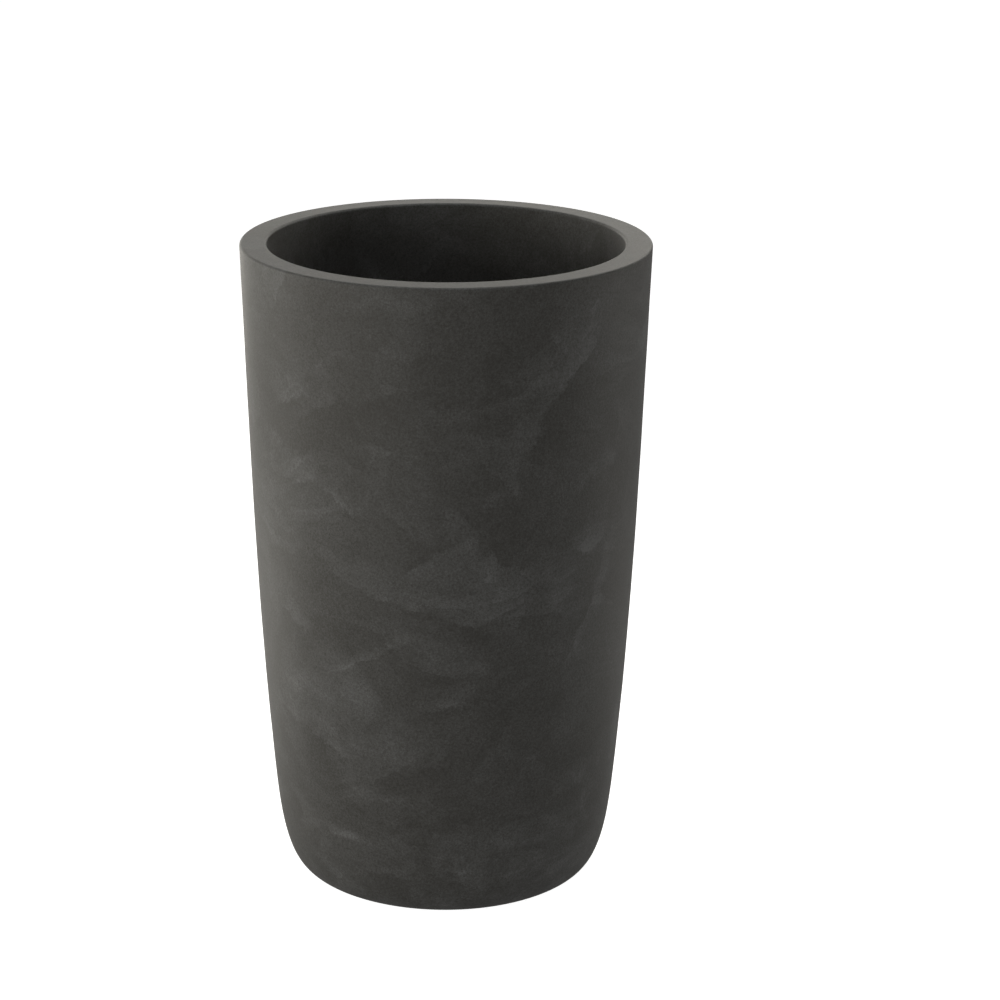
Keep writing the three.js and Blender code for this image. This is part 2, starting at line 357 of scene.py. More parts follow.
def blended(parts: Sequence[Wire], weights: Sequence[float]) -> Wire:
    """Adds numbers up, each with a weight of its own.

    Args:
        parts: The numbers.
        weights: Their weights, in the same order.

    Returns:
        The sum.
    """
    weighed = [part * weight for part, weight in zip(parts, weights, strict=True)]
    return sum(weighed[1:], weighed[0])


# ---------------------------------------------------------------------------------------------------------
# Finishes


@dataclass(frozen=True)
class Veil:
    """A torn edge of a thin coat over another: light along a ragged line and dark beyond it."""

    azimuth: float  # degrees round from the front, to the right
    height: float  # metres above the ground, at the middle of the line
    tilt: float  # degrees that the line climbs to the right; past 90 the light side is below
    length: float  # metres along the line
    fade: float  # metres over which the light side fades
    depth: float  # metres over which the dark side fades
    light: float = 0.2  # how much lighter the light side is
    shade: float = 0.1  # how much darker the dark side is
    edge: float = 0.0022  # metres from the line to the lightest and the darkest

    def drawn(self, paint: Paint, around: Wire, up: Wire, radius: float) -> Wire:
        """Its part of the lightness.

        Args:
            paint: The material that it is part of.
            around: Metres round the wall from the front, to the right, with the line's raggedness in it.
            up: Metres above the ground, with the line's raggedness in it.
            radius: The wall's radius that those metres are measured at.

        Returns:
            The lightness that it adds.
        """
        turn = math.radians(self.tilt)
        right = around - math.radians(self.azimuth) * radius
        above = up - self.height
        along = right * math.cos(turn) + above * math.sin(turn)
        across = above * math.cos(turn) - right * math.sin(turn)
        span = self.depth + self.fade
        stops = (
            (0.0, 0.5),
            ((self.depth - self.edge) / span, 0.5 - self.shade),
            ((self.depth + self.edge) / span, 0.5 + self.light),
            (1.0, 0.5),
        )
        ramp = paint.node("ShaderNodeValToRGB", {"stops": stops}, {0: (across + self.depth) / span})
        window = along.size().stepped(self.length * 0.5, self.length * 0.2)
        return window * (Wire(paint, ramp.outputs[0]) - 0.5)


@dataclass(frozen=True)
class Fibreglass:
    """Charcoal gelcoat rubbed down by hand: thin coats whose edges are torn, under a fine matt grain."""

    name: str = "charcoal_fibreglass"
    dark: Colour = (0.0224, 0.0210, 0.0175)
    pale: Colour = (0.0988, 0.1000, 0.1000)
    level: float = 0.30  # where the middle of the finish stands between them
    skew: float = 1.3  # how much further the light patches go than the dark ones
    speckle: float = 0.36  # how much of that range the grain takes
    pale_speckle: float = 0.4  # how much more it takes where the coats are light
    grain_scale: float = 480.0  # grains to a metre
    grain_height: float = 0.06 * MM
    grain_roughness: float = 0.03
    coat_roughness: float = 0.12
    roughness: float = 0.62
    wall_radius: float = 0.18
    flattened: tuple[float, float, float] = (0.8, 0.8, 1.15)  # patches are wider than they are high
    steepest: float = 1.5  # how steeply a patch's lower edge may lean
    coat_weights: tuple[float, ...] = (0.20, 0.05, 0.17, 0.16, 0.13, 0.12)  # in the order of coats()
    coat_drop: float = 0.02
    veils: tuple[Veil, ...] = ()
    under_veils: float = 0.85  # how much of the coats is left where there are veils
    veil_strength: float = 0.85
    veil_wear: float = 0.8  # how unevenly the veils are worn

    def shingles(self, paint: Paint, where: bpy.types.NodeSocket, scale: float, fade: float) -> Wire:
        """One layer of torn patches, each palest or darkest along its lower edge, about 0.

        Args:
            paint: The material that they are part of.
            where: The position it is read at.
            scale: How many patches there are to a metre.
            fade: How high up a patch its tone reaches, in metres.

        Returns:
            The lightness.
        """
        values = {"Vector": where, "Scale": scale, "Randomness": 1.0}
        cells = paint.node("ShaderNodeTexVoronoi", inputs=values)
        tone, lean, _ = paint.parts(cells.outputs["Color"])
        across, _, up = paint.parts(paint.vector("SUBTRACT", where, cells.outputs["Position"]))
        slope = lean * (2 * self.steepest) - self.steepest
        usual = 0.33  # what tone * tone is on the whole
        return (tone * tone - usual) * (up + across * slope).stepped(fade, -fade) * 2.0

    def coats(self, paint: Paint) -> Wire:
        """The lightness of the torn coats, about 0.

        Args:
            paint: The material that they are part of.

        Returns:
            The lightness.
        """
        drawn = paint.mapped(paint.place, self.flattened)
        loose = paint.stirred(drawn, scale=6.0, reach=0.045, detail=1.0)
        torn = paint.stirred(loose, scale=26.0, reach=0.009, detail=5.0)
        dusted = paint.stirred(torn, scale=230.0, reach=0.0016, detail=2.0)
        smoke = paint.cloud(torn, scale=9.0, detail=6.0, roughness=0.72)
        haze = paint.cloud(loose, scale=4.0, detail=1.0)
        broad = self.shingles(paint, dusted, scale=8.0, fade=0.06)
        fine = self.shingles(paint, dusted, scale=20.0, fade=0.03)
        puffs = paint.cloud(torn, scale=34.0, detail=4.0, roughness=0.68)
        threads = paint.cloud(torn, scale=15.0, detail=2.0)
        wisps = threads.size().stepped(0.16, 0.0) * haze.stepped(-0.3, 0.7)
        return blended((smoke, haze, puffs, broad, fine, wisps), self.coat_weights) - self.coat_drop

    def marks(self, paint: Paint) -> Wire:
        """The lightness of the coats' edges that lie in known places.

        Args:
            paint: The material that they are part of.

        Returns:
            The lightness.
        """
        loose = paint.stirred(paint.place, scale=13.0, reach=0.008, detail=2.0)
        torn = paint.stirred(loose, scale=36.0, reach=0.008, detail=5.0)
        dusted = paint.stirred(torn, scale=260.0, reach=0.0022, detail=2.0)
        x, y, up = paint.parts(dusted)
        around = x.made("ARCTAN2", x, y * -1.0) * self.wall_radius
        drawn = [veil.drawn(paint, around, up, self.wall_radius) for veil in self.veils]
        worn = paint.cloud(torn, scale=24.0, detail=4.0, roughness=0.75)
        return sum(drawn[1:], drawn[0]) * (worn * self.veil_wear + self.veil_strength)

    def grain(self, paint: Paint) -> Wire:
        """The fine matt speckle, about 0."""
        return paint.cloud(paint.place, self.grain_scale, detail=2.0, roughness=1.0)

    def made(self) -> bpy.types.Material:
        """Builds the material.

        Returns:
            The material.
        """
        paint = Paint(self.name)
        coats = self.coats(paint)
        if self.veils:
            coats = coats * self.under_veils + self.marks(paint)
        coats = coats * (coats * self.skew + 1.0)
        grain = self.grain(paint)
        share = coats + grain * (coats * self.pale_speckle + self.speckle) + self.level
        uneven = blended((grain, coats), (self.grain_roughness, self.coat_roughness))
        return paint.dress(
            {
                "Base Color": paint.mixed(share, self.dark, self.pale),
                "Roughness": self.roughness + uneven,
                "Normal": paint.bumped(grain, self.grain_height, strength=0.6),
                "IOR": 1.48,
            }
        )


@dataclass(frozen=True)
class Laminate:
    """The liner's inside: the same gelcoat, duller, with chopped strands of glass just showing through."""

    name: str = "liner_fibreglass"
    dark: Colour = (0.0290, 0.0282, 0.0255)
    pale: Colour = (0.1050, 0.1040, 0.1000)
    level: float = 0.2  # where the middle of the finish stands between them
    tones: tuple[float, float, float] = (0.09, 0.03, 0.07)  # weights of smoke, grain and strands
    heights: tuple[float, float, float] = (0.6, 0.4, 1.0)  # and in the relief
    relief: float = 0.2 * MM
    roughness: float = 0.74
    strand_gloss: float = 0.12  # how much less rough a strand is
    grain_roughness: float = 0.03
    strand: float = 260.0  # strands to a metre, across them
    strand_lays: int = 5
    drawn_out: tuple[float, float, float] = (1.0, 1.0, 0.06)  # a strand is long and thin
    lay_turn: tuple[float, float, float] = (0.7, 1.0, 1.3)  # how far each lay turns about x, y and z
    lay_shift: tuple[float, float, float] = (0.37, 0.11, 0.23)  # metres from one lay to the next

    def strands(self, paint: Paint) -> Wire:
        """The chopped strands, from 0 to about 1.

        Args:
            paint: The material that they are part of.

        Returns:
            How strongly a strand shows.
        """
        loose = paint.stirred(paint.place, scale=40.0, reach=0.0015, detail=1.0)
        lays = []
        for lay in range(self.strand_lays):
            angle = math.pi * lay / self.strand_lays
            turn = [angle * share for share in self.lay_turn]
            shift = [lay * step for step in self.lay_shift]
            turned = paint.mapped(loose, turn=turn, shift=shift)
            fibre = paint.cloud(paint.mapped(turned, self.drawn_out), self.strand, detail=0.0)
            patch = paint.cloud(turned, scale=22.0, detail=1.0).stepped(0.0, 0.6)
            lays.append(fibre.stepped(0.45, 1.0) * patch)
        return sum(lays[1:], lays[0]).least(1.0)

    def made(self) -> bpy.types.Material:
        """Builds the material.

        Returns:
            The material.
        """
        paint = Paint(self.name)
        strands = self.strands(paint)
        torn = paint.stirred(paint.place, scale=14.0, reach=0.012, detail=4.0)
        smoke = paint.cloud(torn, scale=8.0, detail=5.0, roughness=0.6)
        grain = paint.cloud(paint.place, scale=700.0, detail=1.0)
        layers = (smoke, grain, strands)
        share = blended(layers, self.tones) + self.level
        return paint.dress(
            {
                "Base Color": paint.mixed(share, self.dark, self.pale),
                "Roughness": self.roughness - strands * self.strand_gloss + grain * self.grain_roughness,
                "Normal": paint.bumped(blended(layers, self.heights), self.relief, strength=0.7),
                "IOR": 1.5,
            }
        )


@dataclass(frozen=True)
class Plywood:
    """Exterior plywood: a rotary-cut face, with the plies' edges in bands."""

    name: str = "plywood"
    pale: Colour = (0.52, 0.35, 0.19)
    dark: Colour = (0.27, 0.155, 0.07)
    level: float = 0.25  # where the middle of the finish stands between them
    tones: tuple[float, float, float] = (0.22, 0.3, 0.18)  # weights of figure, pores and bands
    ply: float = 2 * MM
    relief: float = 0.1 * MM
    roughness: float = 0.62
    along: tuple[float, float, float] = (1.0, 0.07, 1.0)  # the figure is drawn out along y

    def made(self) -> bpy.types.Material:
        """Builds the material.

        Returns:
            The material.
        """
        paint = Paint(self.name)
        long = paint.mapped(paint.stirred(paint.place, scale=6.0, reach=0.01), self.along)
        figure = paint.cloud(long, scale=55.0, detail=4.0, roughness=0.6)
        pores = paint.cloud(long, scale=900.0, detail=1.0).stepped(0.4, 1.0)
        _, _, height = paint.parts(paint.place)
        bands = (height / self.ply).fract().stepped(0.42, 0.58)
        share = blended((figure, pores, bands), self.tones) + self.level
        return paint.dress(
            {
                "Base Color": paint.mixed(share, self.pale, self.dark),
                "Roughness": self.roughness + figure * 0.06,
                "Normal": paint.bumped(figure * 0.5 - pores, self.relief, strength=0.5),
            }
        )


@dataclass(frozen=True)
class Moulded:
    """A black moulded part, with a fine spark-eroded grain and dust in it."""

    name: str
    colour: Colour
    dusty: Colour
    roughness: float
    grain: float  # grains to a metre
    relief: float  # metres
    dust: float = 0.25

    def made(self) -> bpy.types.Material:
        """Builds the material.

        Returns:
            The material.
        """
        paint = Paint(self.name)
        grain = paint.cloud(paint.place, self.grain, detail=2.0, roughness=0.6)
        wiped = paint.stirred(paint.place, scale=60.0, reach=0.004)
        smear = paint.cloud(wiped, scale=90.0, detail=4.0, roughness=0.6)
        dust = smear.stepped(-0.1, 1.0) * self.dust + grain * 0.03
        return paint.dress(
            {
                "Base Color": paint.mixed(dust, self.colour, self.dusty),
                "Roughness": self.roughness + dust * 0.3 + grain * 0.03,
                "Normal": paint.bumped(grain, self.relief, strength=0.5),
                "IOR": 1.5,
            }
        )


@dataclass(frozen=True)
class Stainless:
    """Turned stainless steel, with fine lathe marks round each screw's axis."""

    name: str = "stainless_steel"
    bright: Colour = (0.62, 0.61, 0.59)
    dull: Colour = (0.38, 0.37, 0.36)
    roughness: float = 0.32
    lathe_lines: float = 5000.0  # to a metre
    lathe_depth: float = 0.02 * MM
    ringed: tuple[float, float, float] = (0.05, 0.05, 1.0)  # the lines change along z, hardly across it

    def made(self) -> bpy.types.Material:
        """Builds the material.

        Returns:
            The material.
        """
        paint = Paint(self.name)
        lathe = paint.cloud(paint.mapped(paint.place, self.ringed), self.lathe_lines, detail=2.0)
        smear = paint.cloud(paint.place, scale=400.0, roughness=0.6)
        return paint.dress(
            {
                "Base Color": paint.mixed(smear * 0.4 + 0.3, self.bright, self.dull),
                "Metallic": 1.0,
                "Roughness": self.roughness + smear * 0.06 + lathe * 0.04,
                "Normal": paint.bumped(lathe, self.lathe_depth, strength=0.4),
            }
        )


# ---------------------------------------------------------------------------------------------------------
# Meshes


class Section:
    """Half the section of a turned piece: a chain of edges in the XZ plane, spun about the Z axis."""

    def __init__(self, points: Sequence[Point], ring: bool = True) -> None:
        """Draws the chain.

        Args:
            points: (radius, height) of each corner.
            ring: Whether the last corner joins the first. If not, both lie on the axis.
        """
        self.bm = bmesh.new()
        self.corners = [self.bm.verts.new((radius, 0.0, height)) for radius, height in points]
        ends = zip(self.corners, self.corners[1:], strict=False)
        for first, second in [*ends, *([(self.corners[-1], self.corners[0])] if ring else [])]:
            self.bm.edges.new((first, second))

    def rounded(self, size: float, *numbers: int, segments: int = 4) -> "Section":
        """Rounds some corners.

        Args:
            size: How far from the corner the rounding starts.
            numbers: Which corners, as numbered when the section was drawn.
            segments: Steps in each rounding.

        Returns:
            This section.
        """
        bmesh.ops.bevel(
            self.bm,
            geom=[self.corners[n] for n in numbers],
            offset=size,
            offset_type="OFFSET",
            segments=segments,
            profile=0.5,
            affect="VERTICES",
            material=-1,
        )
        return self

    def braced(self, margin: float) -> "Section":
        """Adds a point close to both ends of each long edge, so that flat faces look flat when smooth.

        Args:
            margin: How close.

        Returns:
            This section.
        """
        for edge in list(self.bm.edges):
            if edge.calc_length() > 4 * margin:
                first, second = edge.verts
                share = margin / edge.calc_length()
                near, _ = bmesh.utils.edge_split(edge, first, share)
                rest = next(e for e in second.link_edges if e.other_vert(second) in near.verts)
                bmesh.utils.edge_split(rest, second, share / (1 - share))
        return self

    def spun(self, sides: int, centre: Point = (0.0, 0.0)) -> bmesh.types.BMesh:
        """Spins the section into a closed mesh.

        Args:
            sides: Steps round the axis.
            centre: Where the axis stands, in x and y.

        Returns:
            The mesh, with its faces pointing outwards.
        """
        bmesh.ops.spin(
            self.bm,
            geom=[*self.bm.verts, *self.bm.edges],
            cent=(0.0, 0.0, 0.0),
            axis=(0.0, 0.0, 1.0),
            dvec=(0.0, 0.0, 0.0),
            angle=math.tau,
            steps=sides,
            use_merge=True,
            use_duplicate=False,
        )
        bmesh.ops.remove_doubles(self.bm, verts=self.bm.verts, dist=TOUCHING)
        bmesh.ops.recalc_face_normals(self.bm, faces=self.bm.faces)
        bmesh.ops.translate(self.bm, verts=self.bm.verts, vec=(*centre, 0.0))
        return self.bm


def circle(bm: bmesh.types.BMesh, sides: int, radius: float, place: Matrix) -> list[bmesh.types.BMEdge]:
    """Adds a circle, or a hexagon where it has 6 sides, as a loop of edges.

    Args:
        bm: The mesh.
        sides: How many edges it has.
        radius: The radius of its corners.
        place: Where it lies, and how it is turned.

    Returns:
        The loop's edges.
    """
    made = bmesh.ops.create_circle(bm, cap_ends=False, segments=sides, radius=radius, matrix=place)
    return list({edge for vert in made["verts"] for edge in vert.link_edges})


def shaded(bm: bmesh.types.BMesh) -> None:
    """Shades a mesh smooth, apart from its creases.

    Args:
        bm: The mesh.
    """
    for face in bm.faces:
        face.smooth = True
    for edge in bm.edges:
        edge.smooth = edge.calc_face_angle(0.0) < math.radians(CREASE)


def fitted(
    bm: bmesh.types.BMesh,
    name: str,
    node: str,
    body: Body,
    material: bpy.types.Material,
) -> bpy.types.Object:
    """Makes a mesh a piece of the planter, in the place of a CAD node.

    Args:
        bm: The mesh, in the planter's frame. It is freed.
        name: The piece's name.
        node: The CAD node that it stands for.
        body: The body that it rides on.
        material: Its finish.

    Returns:
        The piece.
    """
    shaded(bm)
    mesh = bpy.data.meshes.new(name)
    bm.to_mesh(mesh)
    bm.free()
    mesh.materials.append(material)
    piece = bpy.data.objects.new(name, mesh)
    bpy.context.scene.collection.objects.link(piece)
    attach(piece, body.value)
    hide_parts(node)
    LOG.info("%s stands for %s: %d faces", name, node, len(mesh.polygons))
    return piece


@dataclass(frozen=True)
class Heel:
    """A rounded corner between a flat floor and the wall."""

    reach: float
    height: float
    power: float = 3.0

    def points(self, wall: "Wall", floor: float, inset: float, steps: int) -> list[Point]:
        """The corner, from the floor up.

        Args:
            wall: The wall it runs into.
            floor: The floor's height.
            inset: How far inside the wall's outside it runs.
            steps: How many steps it takes.

        Returns:
            (radius, height) points.
        """
        made = []
        for i in range(steps + 1):
            turn = math.pi / 2 * (1 - i / steps)
            z = floor + self.height * (1 - math.sin(turn) ** (2 / self.power))
            cut = self.reach * (1 - max(math.cos(turn), 0.0) ** (2 / self.power))
            made.append((wall.radius(z) - inset - cut, z))
        return made


@dataclass(frozen=True)
class Wall:
    """The outside of the body, which all the skins follow."""

    rim_radius: float = 190 * MM
    rim_width: float = 25 * MM
    rim_top: float = 618 * MM
    underside: float = 6 * MM
    arris: float = 2.5 * MM
    lean: float = 19.6 * MM
    belly: float = 16.5 * MM
    belly_power: float = 3.4
    fold_depth: float = 80 * MM
    gap: float = 0.3 * MM

    @property
    def top(self) -> float:
        """Where the wall meets the rim's rounded edge."""
        return self.rim_top - self.arris

    @property
    def fold_bottom(self) -> float:
        """Where the rim's fold ends inside."""
        return self.rim_top - self.fold_depth

    def radius(self, z: float) -> float:
        """The outside radius at a height, before the heel is rounded off."""
        down = max(0.0, (self.top - z) / (self.top - self.underside))
        return self.rim_radius - self.lean * down - self.belly * down**self.belly_power

    def climb(self, bottom: float, top: float, inset: float, steps: int) -> list[Point]:
        """The wall above one height and up to another.

        Args:
            bottom: Where it starts, without a point there.
            top: Where it ends.
            inset: How far inside the wall's outside it runs.
            steps: How many steps it takes.

        Returns:
            (radius, height) points.
        """
        heights = [bottom + (top - bottom) * i / steps for i in range(1, steps + 1)]
        return [(self.radius(z) - inset, z) for z in heights]

    def face(
        self, floor: float, top: float, inset: float, heel: Heel, steps: tuple[int, int]
    ) -> list[Point]:
        """A skin's face, from the edge of its floor up.

        Args:
            floor: The floor's height.
            top: Where the face ends.
            inset: How far inside the wall's outside it runs.
            heel: The corner between the floor and the wall.
            steps: Steps in the corner and in the wall above it.

        Returns:
            (radius, height) points.
        """
        corner = heel.points(self, floor, inset, steps[0])
        return [*corner, *self.climb(floor + heel.height, top, inset, steps[1])]


def arc(centre: Point, size: float, start: float, end: float, steps: int) -> list[Point]:
    """Part of a circle in a section.

    Args:
        centre: Its centre, as (radius, height).
        size: Its radius.
        start: The angle it starts at, in degrees.
        end: The angle it ends at.
        steps: How many steps it takes.

    Returns:
        (radius, height) points.
    """
    angles = [math.radians(start + (end - start) * i / steps) for i in range(steps + 1)]
    return [(centre[0] + size * math.cos(a), centre[1] + size * math.sin(a)) for a in angles]


def hollowed(bm: bmesh.types.BMesh, depth: float, spacing: float, low: float, high: float) -> None:
    """Rubs a turned skin's shown face down unevenly by hand, always into the piece.

    Args:
        bm: The skin.
        depth: The most that is rubbed away.
        spacing: The distance between one hollow and the next.
        low: Vertices at or below this height are left.
        high: Those at or above this height are left.
    """
    large, small = 0.7, 0.3  # the shares of the large hollows and of the small ones in them
    closer = 2.3  # how much closer together the small ones are
    gain = 1.6  # how far the noise is stretched, before it is cut off at -1 and 1
    bm.normal_update()
    for vert in bm.verts:
        if not low < vert.co.z < high or vert.tag:
            continue
        ends = min(1.0, (vert.co.z - low) / spacing, (high - vert.co.z) / spacing)
        place = vert.co / spacing
        lump = noise.noise(place) * large + noise.noise(place * closer) * small
        vert.co -= vert.normal * depth * ends * (0.5 + 0.5 * max(-1.0, min(1.0, gain * lump)))


# ---------------------------------------------------------------------------------------------------------
# Sub-assemblies


@dataclass
class OuterShell:
    """The outer skin: the wall, the flat rim and its fold down inside."""

    wall: Wall = field(default_factory=Wall)
    heel: Heel = Heel(reach=25.2 * MM, height=96 * MM)
    skin: float = 5 * MM
    drain_hole: float = 13.8 * MM
    lip_rounding: float = 0.8 * MM
    brace: float = 0.5 * MM
    hollow_depth: float = 0.3 * MM
    hollow_spacing: float = 55 * MM
    sides: int = 192
    outside_steps: tuple[int, int] = (28, 52)  # in the heel, and in the wall above it
    inside_steps: tuple[int, int] = (10, 10)
    arris_steps: int = 7
    fold_steps: int = 9

    def section(self) -> Section:
        """Its section, from the drain hole out, up the wall, over the rim and back inside.

        Returns:
            The section.
        """
        wall = self.wall
        under_rim = wall.rim_top - self.skin
        fold_back = wall.rim_width - self.skin
        inner_heel = Heel(self.heel.reach, self.heel.height - self.skin, self.heel.power)
        floor = wall.underside + self.skin
        outside = wall.face(wall.underside, wall.top, 0.0, self.heel, self.outside_steps)
        inside = wall.face(floor, under_rim, self.skin, inner_heel, self.inside_steps)
        outer_arris = (wall.rim_radius - wall.arris, wall.top)
        inner_arris = (wall.rim_radius - wall.rim_width + wall.arris, wall.top)
        outer = arc(outer_arris, wall.arris, 0, 90, self.arris_steps)[1:]
        inner = arc(inner_arris, wall.arris, 90, 180, self.arris_steps)
        fold = list(reversed(wall.climb(wall.fold_bottom, wall.top, wall.rim_width, self.fold_steps)))[1:]
        fold_end = (wall.radius(wall.fold_bottom) - wall.rim_width, wall.fold_bottom)
        back = (wall.radius(wall.fold_bottom) - fold_back, wall.fold_bottom)
        points = [
            (self.drain_hole, wall.underside),
            *outside,
            *outer,
            *inner,
            *fold,
            fold_end,
            back,
            (wall.radius(under_rim) - fold_back, under_rim),
            *reversed(inside),
            (self.drain_hole, floor),
        ]
        section = Section(points)
        lip = points.index(fold_end)
        return section.rounded(self.lip_rounding, lip, lip + 1, segments=3).braced(self.brace)

    def build(self, finish: bpy.types.Material) -> bpy.types.Object:
        """Builds and fits the skin.

        Args:
            finish: Its material.

        Returns:
            The piece.
        """
        bm = self.section().spun(self.sides)
        slack = 1 * MM
        for vert in bm.verts:
            depth = self.wall.radius(vert.co.z) - vert.co.xy.length
            on_floor = depth > self.heel.reach + slack
            inside = depth > slack and vert.co.z > self.heel.height
            vert.tag = on_floor or inside
        hollowed(bm, self.hollow_depth, self.hollow_spacing, self.wall.underside, self.wall.top)
        return fitted(bm, "outer_skin", "outer_shell", Body.PLANTER, finish)


@dataclass
class InnerLiner:
    """The inner skin: a cup with a sunk drain, lapped up behind the rim's fold."""

    wall: Wall = field(default_factory=Wall)
    heel: Heel = Heel(reach=24 * MM, height=60 * MM)
    skin: float = 4 * MM
    shell_skin: float = 5 * MM
    floor_top: float = 27.6 * MM
    lap: float = 25 * MM
    drain_hole: float = 13.8 * MM
    sump_radius: float = 34 * MM
    sump_top: float = 15.3 * MM
    sump_rounding: float = 2 * MM
    edge_rounding: float = 0.6 * MM
    brace: float = 0.5 * MM
    hollow_depth: float = 0.25 * MM
    hollow_spacing: float = 40 * MM
    sides: int = 160
    front_steps: tuple[int, int] = (16, 34)  # in the heel, and in the wall above it
    back_steps: tuple[int, int] = (8, 10)

    def section(self) -> Section:
        """Its section, from under the sump out, up the back, over the lap and down the front.

        Returns:
            The section.
        """
        wall = self.wall
        step_top = wall.fold_bottom - wall.gap
        step_bottom = step_top - self.skin
        lap_top = wall.fold_bottom + self.lap
        lap_inset = wall.rim_width - self.shell_skin - wall.gap
        back_heel = Heel(self.heel.reach, self.heel.height + self.skin, self.heel.power)
        front = wall.face(self.floor_top, step_top, wall.rim_width, self.heel, self.front_steps)
        floor_bottom = self.floor_top - self.skin
        back_inset = wall.rim_width - self.skin
        back = wall.face(floor_bottom, step_bottom, back_inset, back_heel, self.back_steps)
        under = self.sump_top - self.skin
        outside = self.sump_radius + self.skin
        points = [
            (self.drain_hole, under),
            (outside, under),
            (outside, floor_bottom),
            *back,
            (wall.radius(step_bottom) - lap_inset + self.skin, step_bottom),
            (wall.radius(lap_top) - lap_inset + self.skin, lap_top),
            (wall.radius(lap_top) - lap_inset, lap_top),
            (wall.radius(step_top) - lap_inset, step_top),
            *reversed(front),
            (self.sump_radius, self.floor_top),
            (self.sump_radius, self.sump_top),
            (self.drain_hole, self.sump_top),
        ]
        section = Section(points)
        last = len(points) - 1
        step = 3 + len(back)
        section.rounded(self.sump_rounding, 1, last - 2, last - 1)
        section.rounded(self.edge_rounding, step + 1, step + 2, step + 4, segments=2)
        return section.braced(self.brace)

    def build(self, finish: bpy.types.Material) -> bpy.types.Object:
        """Builds and fits the skin.

        Args:
            finish: Its material.

        Returns:
            The piece.
        """
        bm = self.section().spun(self.sides)
        slack = 1 * MM
        for vert in bm.verts:
            depth = self.wall.radius(vert.co.z) - vert.co.xy.length
            vert.tag = depth < self.wall.rim_width - slack
        low = self.floor_top + slack
        high = self.wall.fold_bottom - 2 * slack
        hollowed(bm, self.hollow_depth, self.hollow_spacing, low, high)
        return fitted(bm, "inner_skin", "inner_liner", Body.PLANTER, finish)


